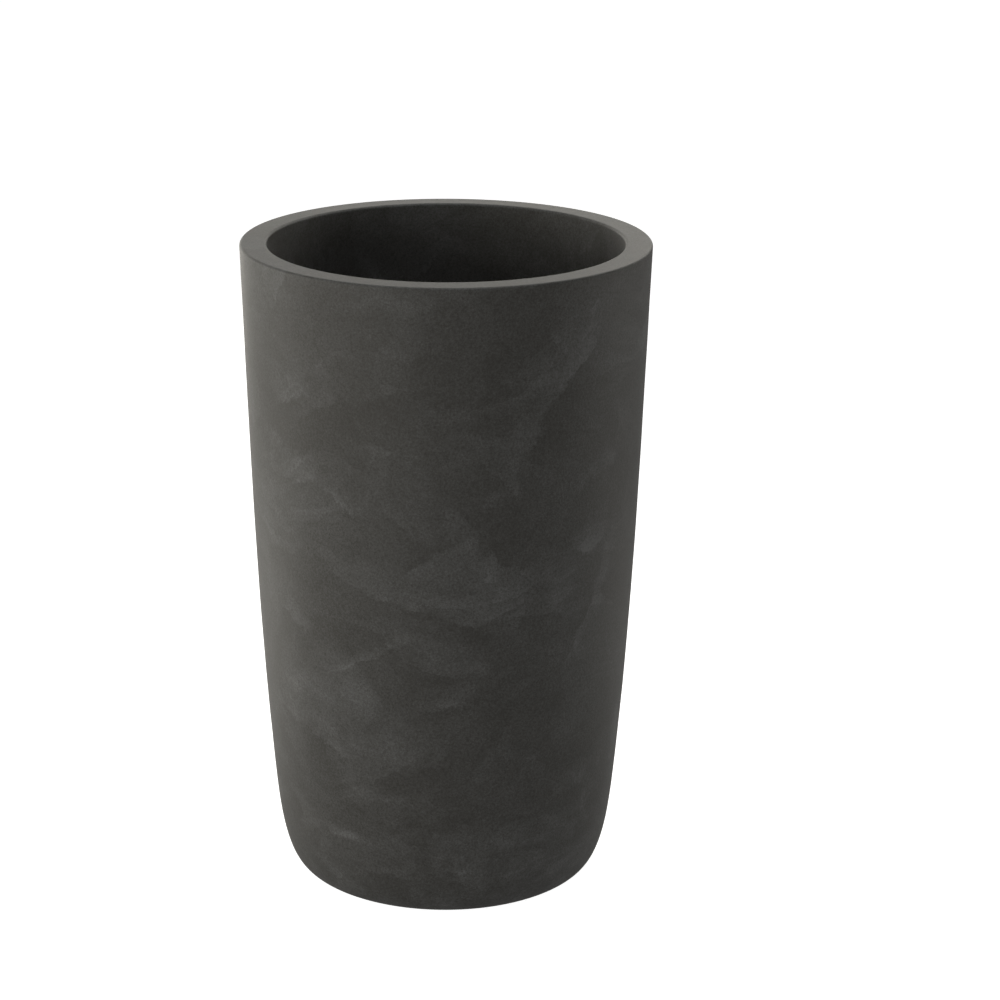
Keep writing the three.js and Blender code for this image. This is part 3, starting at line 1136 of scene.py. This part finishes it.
@dataclass
class Drain:
    """The drain through both floors: a flanged bushing, its gasket and nut, and the plug."""

    bore: float = 10 * MM
    tube: float = 13.5 * MM
    flange: float = 24 * MM
    flange_bottom: float = 17.9 * MM
    flange_top: float = 20.9 * MM
    gasket_bottom: float = 15.6 * MM
    gasket_top: float = 17.6 * MM
    hole: float = 13.8 * MM
    nut_bottom: float = 2.2 * MM
    nut_top: float = 5.7 * MM
    nut_wall: float = 5.5 * MM
    plug_seat: float = 21.2 * MM
    plug_head: float = 16 * MM
    plug_head_top: float = 24.2 * MM
    plug_bottom: float = 11.2 * MM
    plug_rib: float = 9.7 * MM
    rib_depth: float = 0.9 * MM
    grip: tuple[float, float, float] = (22 * MM, 5 * MM, 2.4 * MM)
    groove_depth: float = 0.4 * MM
    groove_outer: tuple[float, float] = (1.8 * MM, 2.2 * MM)  # in from the flange's edge, top and bottom
    groove_inner: tuple[float, float] = (0.8 * MM, 1.2 * MM)  # out from the plug's head, top and bottom
    flange_edge: float = 0.8 * MM
    tube_edge: float = 0.4 * MM
    groove_edge: float = 0.2 * MM
    gasket_edge: float = 0.5 * MM
    nut_edge: float = 0.35 * MM
    plug_edge: float = 0.9 * MM
    rib_edge: float = 0.3 * MM
    brace: float = 0.15 * MM
    sides: int = 72
    side_steps: int = 8  # along each side of the nut

    def bushing(self, finish: bpy.types.Material) -> bpy.types.Object:
        """The bushing, with a shallow ring groove in its flange.

        Args:
            finish: Its material.

        Returns:
            The piece.
        """
        outer_top, outer_bottom = self.groove_outer
        inner_top, inner_bottom = self.groove_inner
        groove = self.flange_top - self.groove_depth
        points = [
            (self.bore, self.nut_bottom),
            (self.tube, self.nut_bottom),
            (self.tube, self.flange_bottom),
            (self.flange, self.flange_bottom),
            (self.flange, self.flange_top),
            (self.flange - outer_top, self.flange_top),
            (self.flange - outer_bottom, groove),
            (self.plug_head + inner_bottom, groove),
            (self.plug_head + inner_top, self.flange_top),
            (self.bore, self.flange_top),
        ]
        section = Section(points).rounded(self.flange_edge, 4, 9).rounded(self.tube_edge, 0, 1, 3)
        section.rounded(self.groove_edge, 5, 6, 7, 8, segments=2)
        bm = section.braced(self.brace).spun(self.sides)
        return fitted(bm, "drain_bushing_moulded", "drain_bushing", Body.PLANTER, finish)

    def gasket(self, finish: bpy.types.Material) -> bpy.types.Object:
        """The flat rubber ring under the flange.

        Args:
            finish: Its material.

        Returns:
            The piece.
        """
        points = [
            (self.hole, self.gasket_bottom),
            (self.flange, self.gasket_bottom),
            (self.flange, self.gasket_top),
            (self.hole, self.gasket_top),
        ]
        section = Section(points).rounded(self.gasket_edge, 0, 1, 2, 3, segments=3)
        bm = section.braced(self.brace).spun(self.sides)
        return fitted(bm, "drain_gasket_ring", "drain_gasket", Body.PLANTER, finish)

    def nut(self, finish: bpy.types.Material) -> bpy.types.Object:
        """The six-sided nut, with its outer edges rounded.

        Args:
            finish: Its material.

        Returns:
            The piece.
        """
        bm = bmesh.new()
        corner = (self.hole + self.nut_wall) / math.cos(math.pi / 6)
        level = Matrix.Translation((0.0, 0.0, self.nut_bottom))
        turned = level @ Matrix.Rotation(math.pi / 2, 4, "Z")
        bmesh.ops.subdivide_edges(bm, edges=circle(bm, 6, corner, turned), cuts=self.side_steps - 1)
        outer = list(bm.edges)
        inner = circle(bm, 6 * self.side_steps, self.hole, turned)
        bmesh.ops.bridge_loops(bm, edges=[*outer, *inner])
        lifted = bmesh.ops.extrude_face_region(bm, geom=list(bm.faces), use_keep_orig=True)["geom"]
        raised = [g for g in lifted if isinstance(g, bmesh.types.BMVert)]
        bmesh.ops.translate(bm, verts=raised, vec=(0.0, 0.0, self.nut_top - self.nut_bottom))
        bmesh.ops.recalc_face_normals(bm, faces=bm.faces)
        sharp = [e for e in bm.edges if e.calc_face_angle(0.0) > math.radians(CREASE)]
        bmesh.ops.bevel(
            bm,
            geom=sharp,
            offset=self.nut_edge,
            offset_type="OFFSET",
            segments=2,
            profile=0.5,
            affect="EDGES",
            material=-1,
        )
        return fitted(bm, "drain_nut_moulded", "drain_nut", Body.PLANTER, finish)

    def plug(self, finish: bpy.types.Material) -> bpy.types.Object:
        """The rubber plug: a head with a bar across it, and a ribbed stem.

        Args:
            finish: Its material.

        Returns:
            The piece.
        """
        stem = self.plug_rib - self.rib_depth
        third = (self.plug_seat - self.plug_bottom) / 3
        points = [(0.0, self.plug_bottom), (stem, self.plug_bottom)]
        for i in (1, 2):
            middle = self.plug_bottom + i * third
            points += [
                (stem, middle - self.rib_depth),
                (self.plug_rib, middle),
                (stem, middle + self.rib_depth),
            ]
        points += [
            (stem, self.plug_seat),
            (self.plug_head, self.plug_seat),
            (self.plug_head, self.plug_head_top),
            (0.0, self.plug_head_top),
        ]
        section = Section(points, ring=False)
        section.rounded(self.plug_edge, 1, 10).rounded(self.rib_edge, 3, 6, 9, segments=3)
        bm = section.braced(self.brace).spun(self.sides)
        plug = fitted(bm, "drain_plug_rubber", "drain_plug", Body.PLUG, finish)
        self.joined(plug, self.bar())
        return plug

    def bar(self) -> bmesh.types.BMesh:
        """The bar across the plug's head, rooted in it.

        Returns:
            The bar's mesh.
        """
        length, width, height = self.grip
        root = (self.plug_head_top - self.plug_seat) / 2
        bm = bmesh.new()
        middle = self.plug_head_top + (height - root) / 2
        size = Matrix.Diagonal((length, width, height + root, 1.0))
        bmesh.ops.create_cube(bm, size=1.0, matrix=Matrix.Translation((0.0, 0.0, middle)) @ size)
        upright = [e for e in bm.edges if abs(e.verts[0].co.z - e.verts[1].co.z) > height / 2]
        shape = {"offset_type": "OFFSET", "profile": 0.5, "affect": "EDGES", "material": -1}
        almost_half = 0.49  # so that a sliver of each end stays flat
        bmesh.ops.bevel(bm, geom=upright, offset=width * almost_half, segments=8, **shape)
        top = max(v.co.z for v in bm.verts)
        rim = [e for e in bm.edges if all(v.co.z > top - TOUCHING for v in e.verts)]
        bmesh.ops.bevel(bm, geom=rim, offset=self.plug_edge, segments=4, **shape)
        return bm

    @staticmethod
    def joined(piece: bpy.types.Object, added: bmesh.types.BMesh) -> None:
        """Makes a piece and an added solid one closed mesh.

        Args:
            piece: The piece, whose mesh is replaced.
            added: The solid. It is freed.
        """
        mesh = bpy.data.meshes.new("added")
        shaded(added)
        added.to_mesh(mesh)
        added.free()
        tool = bpy.data.objects.new("added", mesh)
        bpy.context.scene.collection.objects.link(tool)
        union = piece.modifiers.new("union", "BOOLEAN")
        union.operation = "UNION"
        union.solver = "EXACT"
        union.object = tool
        made = bpy.data.meshes.new_from_object(piece.evaluated_get(bpy.context.evaluated_depsgraph_get()))
        piece.modifiers.clear()
        made.name = piece.name
        piece.data = made
        bpy.data.objects.remove(tool)

    def build(self, polymer: bpy.types.Material, rubber: bpy.types.Material) -> list[bpy.types.Object]:
        """Builds and fits the four parts.

        Args:
            polymer: The bushing's and nut's material.
            rubber: The gasket's and plug's material.

        Returns:
            The pieces.
        """
        return [self.bushing(polymer), self.gasket(rubber), self.nut(polymer), self.plug(rubber)]


@dataclass
class Feet:
    """Four rubber feet and the screws that hold them."""

    count: int = 4
    circle: float = 94.7 * MM
    radius: float = 13 * MM
    taper: float = 1.5 * MM
    top: float = 5.7 * MM
    web_bottom: float = 3.9 * MM
    hole: float = 2.3 * MM
    recess: float = 5 * MM
    grooves: tuple[float, ...] = (6.6 * MM, 8.8 * MM)
    groove_width: float = 0.9 * MM
    groove_depth: float = 0.6 * MM
    shank: float = 2 * MM
    head: float = 4 * MM
    head_bottom: float = 1.6 * MM
    head_top: float = 3.6 * MM
    tip: float = 19.6 * MM
    point_length: float = 4 * MM
    socket: float = 1.5 * MM
    socket_depth: float = 1.2 * MM
    thread_pitch: float = 1.8 * MM
    thread_depth: float = 0.45 * MM
    thread_root: float = 0.1 * MM  # how deep the ridge is sunk in the core
    thread_half: float = 0.3  # half the ridge's width, as a share of the pitch
    thread_start: float = 2.5  # pitches above the head
    turn_steps: int = 32
    head_round: float = 0.6 * MM
    head_middle: float = 0.18 * MM  # how far its middle point lies from both faces
    point_middle: tuple[float, float] = (0.5, 0.35)  # its share of the core, and of the point's length
    tip_share: float = 0.04  # how wide the tip is beside the core
    tread_edge: float = 0.8 * MM
    small_edge: float = 0.5 * MM
    groove_edge: float = 0.15 * MM
    brace: float = 0.1 * MM
    sides: int = 72
    side_steps: int = 8  # along each side of the socket

    def places(self) -> list[Point]:
        """Where the feet stand, in x and y.

        Returns:
            One point to a foot, in the CAD's order.
        """
        angles = [(i + 0.5) * math.tau / self.count for i in range(self.count)]
        return [(self.circle * math.cos(a), self.circle * math.sin(a)) for a in angles]

    def foot(self, number: int, place: Point, finish: bpy.types.Material) -> bpy.types.Object:
        """One foot, with two ring grooves in its tread.

        Args:
            number: Its number in the CAD, from 1.
            place: Where it stands.
            finish: Its material.

        Returns:
            The piece.
        """
        ground = self.radius - self.taper
        tread = []
        for ring in self.grooves:
            tread += [
                (ring, 0.0),
                (ring, self.groove_depth),
                (ring + self.groove_width, self.groove_depth),
                (ring + self.groove_width, 0.0),
            ]
        points = [
            (self.recess, 0.0),
            *tread,
            (ground, 0.0),
            (self.radius, self.top),
            (self.hole, self.top),
            (self.hole, self.web_bottom),
            (self.recess, self.web_bottom),
        ]
        edge = 1 + len(tread)
        section = Section(points).rounded(self.tread_edge, edge)
        section.rounded(self.small_edge, 0, edge + 1, segments=3)
        section.rounded(self.groove_edge, *range(1, edge), segments=2)
        bm = section.braced(self.brace).spun(self.sides, place)
        name = f"foot_rubber_{number}"
        return fitted(bm, name, f"foot_{number}", Body.PLANTER, finish)

    def screw(self, number: int, place: Point, finish: bpy.types.Material) -> bpy.types.Object:
        """One screw, with a hexagon socket in its head and a thread on its shank.

        Args:
            number: Its number in the CAD, from 1.
            place: Where it stands.
            finish: Its material.

        Returns:
            The piece.
        """
        bm = self.shaft()
        self.cut_thread(bm)
        bmesh.ops.translate(bm, verts=bm.verts, vec=(*place, 0.0))
        name = f"foot_screw_steel_{number}"
        return fitted(bm, name, f"foot_screw_{number}", Body.PLANTER, finish)

    def shaft(self) -> bmesh.types.BMesh:
        """The screw's head and core, about the Z axis.

        Returns:
            The mesh.
        """
        bm = bmesh.new()
        level = Matrix.Translation((0.0, 0.0, self.head_bottom))
        bmesh.ops.subdivide_edges(bm, edges=circle(bm, 6, self.socket, level), cuts=self.side_steps - 1)
        hexagon = list(bm.edges)
        radius = self.head - self.head_round
        outer = circle(bm, 6 * self.side_steps, radius, level)
        bmesh.ops.bridge_loops(bm, edges=[*hexagon, *outer])
        core = self.shank - self.thread_depth
        middle_wide, middle_down = self.point_middle
        steps = [
            (self.head - self.head_middle, self.head_middle),
            (self.head, self.head_round),
            (self.head, self.head_top - self.head_bottom),
            (core, self.head_top - self.head_bottom),
            (core, self.tip - self.point_length - self.head_bottom),
            (core * middle_wide, self.tip - middle_down * self.point_length - self.head_bottom),
            (core * self.tip_share, self.tip - self.head_bottom),
        ]
        height = 0.0
        for wide, high in steps:
            outer = self.drawn(bm, outer, wide / radius, high - height)
            radius, height = wide, high
        bmesh.ops.contextual_create(bm, geom=outer)
        inner = self.drawn(bm, hexagon, 1.0, self.socket_depth)
        bmesh.ops.contextual_create(bm, geom=inner)
        bmesh.ops.recalc_face_normals(bm, faces=bm.faces)
        return bm

    @staticmethod
    def drawn(
        bm: bmesh.types.BMesh, loop: list[bmesh.types.BMEdge], scale: float, rise: float
    ) -> list[bmesh.types.BMEdge]:
        """Extrudes a loop of edges about the Z axis.

        Args:
            bm: The mesh.
            loop: The loop.
            scale: How much wider the new loop is.
            rise: How much higher it is.

        Returns:
            The new loop.
        """
        made = bmesh.ops.extrude_edge_only(bm, edges=loop)["geom"]
        verts = [g for g in made if isinstance(g, bmesh.types.BMVert)]
        bmesh.ops.scale(bm, verts=verts, vec=(scale, scale, 1.0))
        bmesh.ops.translate(bm, verts=verts, vec=(0.0, 0.0, rise))
        return [g for g in made if isinstance(g, bmesh.types.BMEdge) and all(v in verts for v in g.verts)]

    def cut_thread(self, bm: bmesh.types.BMesh) -> None:
        """Winds the thread round the screw's core, as one closed ridge.

        Args:
            bm: The screw's mesh, about the Z axis.
        """
        core = self.shank - self.thread_depth
        start = self.head_top + self.thread_start * self.thread_pitch
        turns = (self.tip - self.point_length - start) / self.thread_pitch
        half = self.thread_pitch * self.thread_half
        root = core - self.thread_root
        corners = [(root, start - half), (self.shank, start), (root, start + half)]
        verts = [bm.verts.new((radius, 0.0, z)) for radius, z in corners]
        edges = [bm.edges.new((verts[i], verts[(i + 1) % 3])) for i in range(3)]
        face = bm.faces.new(verts)
        steps = round(turns * self.turn_steps)
        rise = self.thread_pitch * turns / steps
        before = set(bm.faces)
        end = bmesh.ops.spin(
            bm,
            geom=[*verts, *edges],
            cent=(0.0, 0.0, 0.0),
            axis=(0.0, 0.0, 1.0),
            dvec=(0.0, 0.0, rise),
            angle=math.tau * turns,
            steps=steps,
            use_merge=False,
            use_duplicate=False,
        )["geom_last"]
        bmesh.ops.contextual_create(bm, geom=[g for g in end if isinstance(g, bmesh.types.BMEdge)])
        made = [f for f in bm.faces if f not in before] + [face]
        bmesh.ops.recalc_face_normals(bm, faces=made)

    def build(self, rubber: bpy.types.Material, steel: bpy.types.Material) -> list[bpy.types.Object]:
        """Builds and fits the feet and screws.

        Args:
            rubber: The feet's material.
            steel: The screws' material.

        Returns:
            The pieces.
        """
        made = []
        for number, place in enumerate(self.places(), 1):
            made.append(self.foot(number, place, rubber))
            made.append(self.screw(number, place, steel))
        return made


@dataclass
class Stiffeners:
    """The plywood ring and board between the skins, whose CAD shapes are right as they are."""

    nodes: tuple[str, ...] = ("rim_core", "base_board")

    def build(self, finish: bpy.types.Material) -> list[bpy.types.Object]:
        """Gives the two CAD nodes their finish.

        Args:
            finish: Their material.

        Returns:
            The nodes' objects.
        """
        dressed = [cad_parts[name] for name in self.nodes]
        for node in dressed:
            node.data.materials.clear()
            node.data.materials.append(finish)
            LOG.info("%s keeps its CAD shape", node.name)
        return dressed


# ---------------------------------------------------------------------------------------------------------
# Studio


@dataclass(frozen=True)
class Softbox:
    """A soft light, aimed at the planter."""

    name: str
    azimuth: float  # degrees round from the front, to the right
    power: float
    colour: Colour = (1.0, 0.965, 0.885)
    height: float = 0.55
    distance: float = 2.3
    size: tuple[float, float] = (1.2, 1.1)
    aim: float = 0.35  # the height it is aimed at

    def build(self) -> bpy.types.Object:
        """Hangs the light.

        Returns:
            The light.
        """
        lamp = bpy.data.lights.new(self.name, "AREA")
        lamp.shape = "RECTANGLE"
        lamp.size, lamp.size_y = self.size
        lamp.energy = self.power
        lamp.color = self.colour
        light = bpy.data.objects.new(self.name, lamp)
        bpy.context.scene.collection.objects.link(light)
        turn = math.radians(self.azimuth)
        place = Vector((self.distance * math.sin(turn), -self.distance * math.cos(turn), self.height))
        light.location = place
        light.rotation_euler = (Vector((0.0, 0.0, self.aim)) - place).to_track_quat("-Z", "Y").to_euler()
        light.visible_camera = False
        return light


@dataclass
class Studio:
    """The plain pale floor and backdrop, the soft lights and the camera."""

    rim_top: float = Wall.rim_top
    camera_distance: float = 2.66  # from the middle of the rim
    camera_elevation: float = 12.524  # degrees above the rim's plane
    camera_pitch: float = 17.676  # degrees that the camera looks down
    camera_roll: float = 0.154  # degrees
    focal_pixels: float = 2880.5
    centre_pixel: float = 445.41
    frame_pixels: float = 1000.0
    sensor: float = 36.0
    floor_radius: float = 30.0
    floor_colour: float = 0.5
    floor_glow: float = 0.97
    bounce_height: float = -1 * MM
    bounce_colour: float = 0.3
    bounce_glow: float = 0.227
    sky: float = 0.11
    lights: tuple[Softbox, ...] = (
        Softbox("left_behind", -150, 18),
        Softbox("left_side", -100, 20.5),
        Softbox("left_front", -40, 17),
        Softbox("front_high", 10, 3.5, (1.0, 0.985, 0.96), height=1.2),
        Softbox("right_side", 100, 9),
        Softbox("left_low", -105, 0.45, height=0.1, distance=0.62, size=(0.35, 0.2), aim=0.08),
        Softbox("right_low", 108, 0.12, height=0.1, distance=0.62, size=(0.35, 0.2), aim=0.08),
        Softbox("rim_left_behind", -150, 1.3, height=0.85, distance=1.0, size=(0.6, 0.6)),
        Softbox("rim_left", -90, 2.0, height=0.85, distance=1.0, size=(0.6, 0.6)),
        Softbox("rim_behind", 180, 2.2, height=0.85, distance=1.0, size=(0.6, 0.6)),
        Softbox("rim_right_behind", 145, 2.5, height=1.0, distance=0.75, size=(0.4, 0.4), aim=0.6),
        Softbox("overhead", 180, 21.5, (0.965, 0.985, 1.0), height=2.6, distance=0.05, size=(1.4, 1.4)),
    )

    def disc(self, name: str, height: float, colour: float, glow: float, seen: bool) -> bpy.types.Object:
        """Lays a wide disc of floor.

        Args:
            name: The disc's name.
            height: Its height.
            colour: How much light it sends back.
            glow: How much light it gives.
            seen: Whether the camera sees it. If not, it only lights the planter from below.

        Returns:
            The disc.
        """
        bm = bmesh.new()
        level = Matrix.Translation((0.0, 0.0, height))
        bmesh.ops.create_circle(bm, cap_ends=True, segments=96, radius=self.floor_radius, matrix=level)
        return self.staged(bm, name, colour, glow, seen)

    def dome(self) -> bpy.types.Object:
        """Raises the backdrop, which only the camera sees.

        Returns:
            The backdrop.
        """
        bm = bmesh.new()
        bmesh.ops.create_uvsphere(bm, u_segments=48, v_segments=24, radius=self.floor_radius)
        return self.staged(bm, "studio_backdrop", 0.0, 1.0, True)

    @staticmethod
    def staged(bm: bmesh.types.BMesh, name: str, colour: float, glow: float, seen: bool) -> bpy.types.Object:
        """Makes a mesh part of the studio.

        Args:
            bm: The mesh. It is freed.
            name: The object's name.
            colour: How much light it sends back.
            glow: How much light it gives.
            seen: Whether the camera sees it and the planter doesn't, or the other way about.

        Returns:
            The object.
        """
        mesh = bpy.data.meshes.new(name)
        bm.to_mesh(mesh)
        bm.free()
        values = {"Base Color": (colour, colour, colour, 1.0), "Roughness": 0.9, "Specular IOR Level": 0.0}
        light = {"Emission Color": (1.0, 1.0, 1.0, 1.0), "Emission Strength": glow}
        mesh.materials.append(Paint(name).dress({**values, **light}))
        piece = bpy.data.objects.new(name, mesh)
        bpy.context.scene.collection.objects.link(piece)
        piece.visible_camera = seen
        piece.visible_diffuse = not seen
        piece.visible_glossy = not seen
        piece.visible_shadow = not seen
        return piece

    def sky_light(self) -> None:
        """Fills the room with an even light."""
        world = bpy.data.worlds.new("studio")
        world.use_nodes = True
        background = world.node_tree.nodes["Background"]
        background.inputs["Color"].default_value = (1.0, 0.99, 0.96, 1.0)
        background.inputs["Strength"].default_value = self.sky
        bpy.context.scene.world = world

    def camera(self) -> bpy.types.Object:
        """Sets up the camera.

        Returns:
            The camera.
        """
        lens = bpy.data.cameras.new("camera")
        lens.sensor_width = self.sensor
        lens.lens = self.focal_pixels * self.sensor / self.frame_pixels
        lens.shift_x = 0.5 - self.centre_pixel / self.frame_pixels
        lens.clip_start = 0.05
        lens.clip_end = 4 * self.floor_radius
        camera = bpy.data.objects.new("camera", lens)
        bpy.context.scene.collection.objects.link(camera)
        up = math.radians(self.camera_elevation)
        back = self.camera_distance * math.cos(up)
        place = Matrix.Translation((0.0, -back, self.rim_top + self.camera_distance * math.sin(up)))
        tip = Matrix.Rotation(math.radians(90 - self.camera_pitch), 4, "X")
        roll = Matrix.Rotation(math.radians(self.camera_roll), 4, "Z")
        camera.matrix_world = place @ tip @ roll
        bpy.context.scene.camera = camera
        return camera

    def build(self) -> None:
        """Sets up the whole studio."""
        self.disc("studio_floor", 0.0, self.floor_colour, self.floor_glow, seen=True)
        self.disc("studio_bounce", self.bounce_height, self.bounce_colour, self.bounce_glow, seen=False)
        self.dome()
        self.sky_light()
        for light in self.lights:
            light.build()
        self.camera()
        bpy.context.scene.view_settings.view_transform = "Standard"


# Azimuth, height, tilt, length, fade, depth, light and shade, and on some the edge.
VEILS = (
    Veil(34.5, 0.516, 54, 0.200, 0.040, 0.060, 0.12, 0.18),
    Veil(47.5, 0.312, 241, 0.150, 0.030, 0.030, 0.20, 0.12),
    Veil(48.0, 0.366, 8, 0.065, 0.035, 0.015, 0.30, 0.05),
    Veil(50.0, 0.433, 25, 0.080, 0.025, 0.020, 0.20, 0.08),
    Veil(-49.0, 0.504, 22, 0.070, 0.050, 0.015, 0.30, 0.06),
    Veil(-29.0, 0.508, 20, 0.140, 0.030, 0.050, 0.05, 0.20),
    Veil(-51.5, 0.466, 165, 0.110, 0.030, 0.035, 0.14, 0.14),
    Veil(-46.0, 0.433, -8, 0.065, 0.035, 0.020, 0.22, 0.08),
    Veil(-23.0, 0.474, 167, 0.070, 0.020, 0.012, 0.18, 0.06, 0.0012),
    Veil(-30.5, 0.412, -31, 0.050, 0.015, 0.015, 0.18, 0.08, 0.0012),
    Veil(-2.5, 0.375, 215, 0.080, 0.020, 0.022, 0.12, 0.16, 0.0012),
    Veil(-4.0, 0.316, -14, 0.160, 0.035, 0.055, 0.18, 0.17),
    Veil(-47.0, 0.176, -18, 0.145, 0.120, 0.060, 0.30, 0.14),
    Veil(-28.0, 0.253, 121, 0.120, 0.035, 0.020, 0.07, 0.06, 0.004),
    Veil(-21.0, 0.268, 31, 0.110, 0.018, 0.015, 0.22, 0.05),
    Veil(-10.0, 0.285, -25, 0.060, 0.030, 0.020, 0.14, 0.10),
    Veil(2.0, 0.225, 5, 0.095, 0.030, 0.020, 0.22, 0.06),
    Veil(-12.0, 0.165, 6, 0.120, 0.030, 0.050, 0.04, 0.16, 0.004),
    Veil(-59.5, 0.106, -50, 0.055, 0.015, 0.015, 0.18, 0.08),
    Veil(-35.0, 0.078, -2, 0.065, 0.022, 0.015, 0.24, 0.08),
    Veil(-21.0, 0.045, 3, 0.090, 0.016, 0.016, 0.20, 0.12),
    Veil(4.0, 0.052, 0, 0.045, 0.012, 0.010, 0.22, 0.06, 0.0012),
    Veil(46.0, 0.125, 10, 0.070, 0.035, 0.020, 0.26, 0.06, 0.004),
    Veil(-50.0, 0.358, 0, 0.130, 0.030, 0.045, 0.03, 0.18, 0.004),
    Veil(-50.0, 0.287, -5, 0.060, 0.035, 0.030, 0.22, 0.16),
    Veil(-61.0, 0.370, 140, 0.050, 0.012, 0.010, 0.18, 0.06),
    Veil(56.0, 0.095, 100, 0.050, 0.010, 0.010, 0.20, 0.04),
    Veil(19.0, 0.312, 35, 0.050, 0.012, 0.012, 0.20, 0.05, 0.0012),
    Veil(-14.0, 0.397, -35, 0.070, 0.030, 0.012, 0.18, 0.08),
    Veil(31.0, 0.560, -65, 0.045, 0.012, 0.010, 0.20, 0.06, 0.0012),
    Veil(42.0, 0.575, 50, 0.050, 0.012, 0.012, 0.16, 0.04),
    Veil(-12.0, 0.600, 5, 0.120, 0.020, 0.030, 0.10, 0.05, 0.004),
    Veil(10.0, 0.535, 85, 0.120, 0.030, 0.040, 0.04, 0.12, 0.004),
    Veil(12.0, 0.415, 10, 0.070, 0.015, 0.020, 0.16, 0.06),
    Veil(-18.0, 0.120, 5, 0.120, 0.015, 0.020, 0.13, 0.08),
)


def main() -> None:
    """Builds the studio and every piece, in order."""
    logging.basicConfig(level=logging.INFO, format="%(message)s")
    Studio().build()
    shell = Fibreglass(veils=VEILS).made()
    rubber = Moulded(
        name="black_rubber",
        colour=(0.014, 0.014, 0.0145),
        dusty=(0.075, 0.072, 0.066),
        roughness=0.68,
        grain=1500.0,
        relief=0.04 * MM,
    ).made()
    polymer = Moulded(
        name="black_polymer",
        colour=(0.018, 0.018, 0.0185),
        dusty=(0.07, 0.068, 0.062),
        roughness=0.46,
        grain=2600.0,
        relief=0.03 * MM,
    ).made()
    OuterShell().build(shell)
    InnerLiner().build(Laminate().made())
    Drain().build(polymer, rubber)
    Feet().build(rubber, Stainless().made())
    Stiffeners().build(Plywood().made())


if __name__ == "__main__":
    main()
